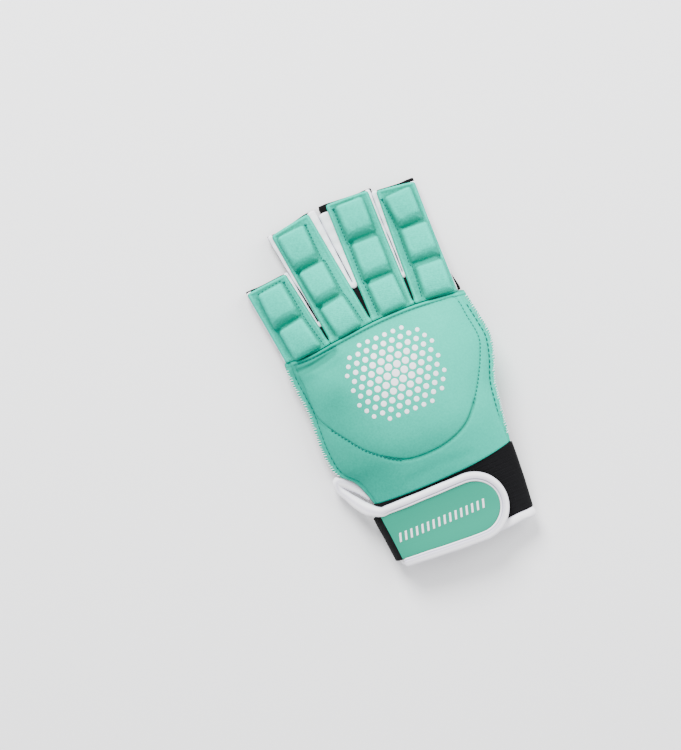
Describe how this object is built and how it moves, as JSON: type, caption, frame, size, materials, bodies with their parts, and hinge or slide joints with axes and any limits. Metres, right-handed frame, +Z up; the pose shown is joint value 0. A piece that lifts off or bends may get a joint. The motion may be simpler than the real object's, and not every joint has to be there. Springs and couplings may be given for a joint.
{
  "type": "field hockey glove",
  "caption": "Left-hand half-finger field hockey glove with foam blocks on the finger backs, a padded shield on the back of the hand and a bound wrist strap, lying palm down.",
  "frame": {"origin": "on the surface that the glove lies on, under the middle of its length and width", "axes": "+Y towards the fingertips, +X towards the thumb side, +Z up, out of the back of the hand"},
  "size_m": [0.1175, 0.2093, 0.038],
  "materials": {
    "mint_fabric": "matte stretch knit over foam",
    "mint_strap": "satin coated fabric",
    "white_binding": "satin woven tape",
    "black_fabric": "matte elastic knit",
    "black_palm": "matte grained synthetic leather"
  },
  "bodies": {
    "root": {"back_panel": "mint_fabric", "shield_panel": "mint_fabric", "palm": "black_palm", "finger_pad_little": "mint_fabric", "finger_pad_ring": "mint_fabric", "finger_pad_middle": "mint_fabric", "finger_pad_index": "mint_fabric", "finger_sleeve_little": "black_palm", "finger_sleeve_ring": "black_palm", "finger_sleeve_middle": "black_palm", "finger_sleeve_index": "black_palm", "finger_tape_little_ring": "white_binding", "finger_tape_ring_middle": "white_binding", "finger_tape_middle_index": "white_binding", "finger_tape_little_side": "white_binding", "finger_tape_index_side": "white_binding", "finger_web_little_ring": "black_fabric", "finger_web_ring_middle": "black_fabric", "finger_web_middle_index": "black_fabric", "cuff_band": "black_fabric", "cuff_tape": "white_binding", "strap_base": "black_fabric", "strap_face": "mint_strap", "strap_tape": "white_binding", "thumb_pad": "mint_fabric", "thumb_sleeve": "black_palm", "thumb_gusset": "mint_fabric"}
  },
  "joints": []
}
